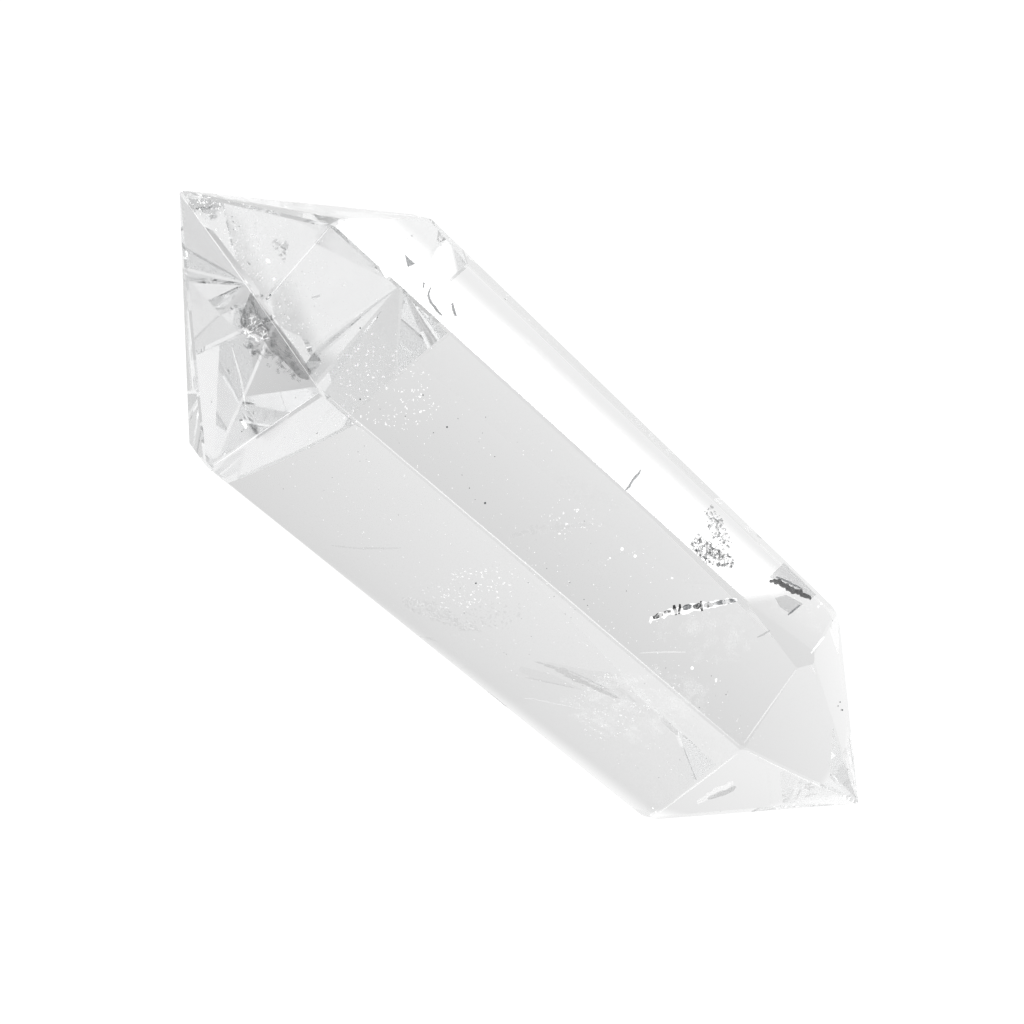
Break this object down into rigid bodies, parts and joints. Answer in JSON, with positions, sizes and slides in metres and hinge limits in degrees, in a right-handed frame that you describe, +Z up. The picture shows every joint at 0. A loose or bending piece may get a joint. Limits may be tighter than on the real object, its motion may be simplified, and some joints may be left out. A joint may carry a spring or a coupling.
{
  "type": "double terminated quartz point",
  "caption": "Clear hexagonal quartz crystal with flat polished faces and a faceted point at each end, lying on one long face.",
  "frame": {"origin": "on the surface the crystal lies on, under the middle of its bounding box", "axes": "+X along the crystal, from the slender point to the blunter point; +Z up, away from the face it lies on"},
  "size_m": [0.0796, 0.0222, 0.0181],
  "materials": {
    "quartz": "polished clear rock crystal"
  },
  "bodies": {
    "root": {"quartz_point": "quartz"}
  },
  "joints": []
}
